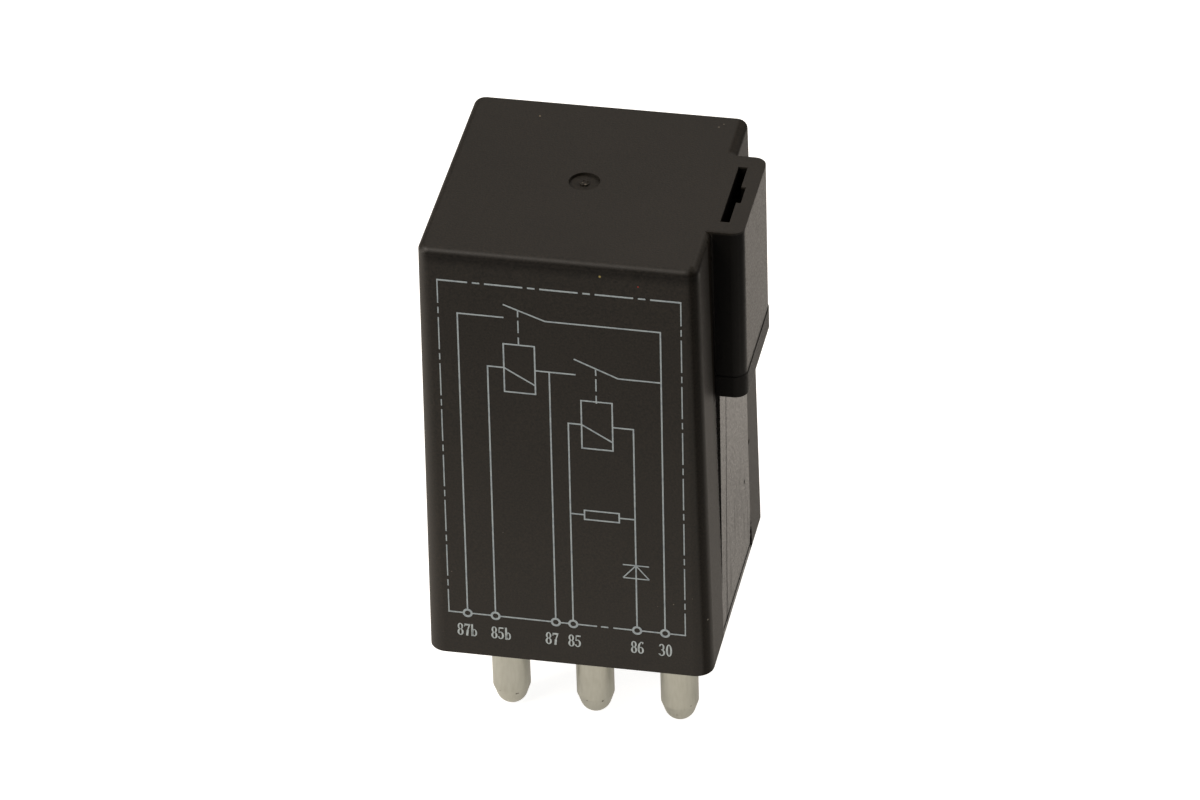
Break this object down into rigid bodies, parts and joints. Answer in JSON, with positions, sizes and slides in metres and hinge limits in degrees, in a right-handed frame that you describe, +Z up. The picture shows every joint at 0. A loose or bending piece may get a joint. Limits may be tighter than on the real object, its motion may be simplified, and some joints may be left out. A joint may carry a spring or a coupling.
{
  "type": "automotive relay",
  "caption": "Tall plug-in twin relay: drafted black cover with a side bracket pocket, round bullet-nosed pins, and two hinged-armature units inside.",
  "frame": {"origin": "centre of the six-pin pattern on the seating plane, the underside of the base", "axes": "+Z up out of the socket, -Y the printed front, +X the side with the bracket pocket"},
  "size_m": [0.0325, 0.03, 0.0633],
  "materials": {
    "cover_plastic": "fine moulded satin",
    "base_plastic": "moulded",
    "board_laminate": "glass laminate",
    "solder": "bright solder",
    "tinned_metal": "tin plated",
    "resistor_coat": "lacquered",
    "diode_mould": "moulded",
    "steel_strip": "zinc plated",
    "steel_turned": "turned",
    "bobbin_plastic": "moulded",
    "enamelled_wire": "enamelled copper wire",
    "spring_bronze": "rolled",
    "rivet_brass": "plain",
    "contact_silver": "silver alloy",
    "spring_wire": "drawn",
    "terminal_copper": "rolled copper"
  },
  "bodies": {
    "housing": {"cover": "cover_plastic", "base": "base_plastic", "circuit_board": "board_laminate", "solder_rings": "solder", "pin_87b": "tinned_metal", "pin_87": "tinned_metal", "pin_30": "tinned_metal", "pin_85b": "tinned_metal", "pin_85": "tinned_metal", "pin_86": "tinned_metal", "resistor_body": "resistor_coat", "resistor_leads": "tinned_metal", "diode_body": "diode_mould", "diode_leads": "tinned_metal", "yoke_left": "steel_strip", "core_left": "steel_turned", "bobbin_left": "bobbin_plastic", "winding_left": "enamelled_wire", "coil_terminals_left": "tinned_metal", "return_spring_left": "spring_wire", "fixed_terminal_left": "terminal_copper", "fixed_contact_left": "contact_silver", "back_stop_left": "spring_bronze", "yoke_right": "steel_strip", "core_right": "steel_turned", "bobbin_right": "bobbin_plastic", "winding_right": "enamelled_wire", "coil_terminals_right": "tinned_metal", "return_spring_right": "spring_wire", "fixed_terminal_right": "terminal_copper", "fixed_contact_right": "contact_silver", "back_stop_right": "spring_bronze"},
    "left_armature": {"armature_left": "steel_strip", "contact_blade_left": "spring_bronze", "blade_rivets_left": "rivet_brass", "moving_contact_left": "contact_silver"},
    "right_armature": {"armature_right": "steel_strip", "contact_blade_right": "spring_bronze", "blade_rivets_right": "rivet_brass", "moving_contact_right": "contact_silver"}
  },
  "joints": [
    {"name": "left_armature_hinge", "type": "hinge", "parent": "housing", "child": "left_armature", "pos_m": [-0.00675, 0.0087, 0.04164], "axis": [1, 0, 0], "range_deg": [0, 4.5], "stiffness_Nm_per_rad": 0.002, "springref_deg": -68.75, "deforming": ["return_spring_left"]},
    {"name": "right_armature_hinge", "type": "hinge", "parent": "housing", "child": "right_armature", "pos_m": [0.00595, 0.0087, 0.04164], "axis": [1, 0, 0], "range_deg": [0, 4.5], "stiffness_Nm_per_rad": 0.002, "springref_deg": -68.75, "deforming": ["return_spring_right"]}
  ]
}
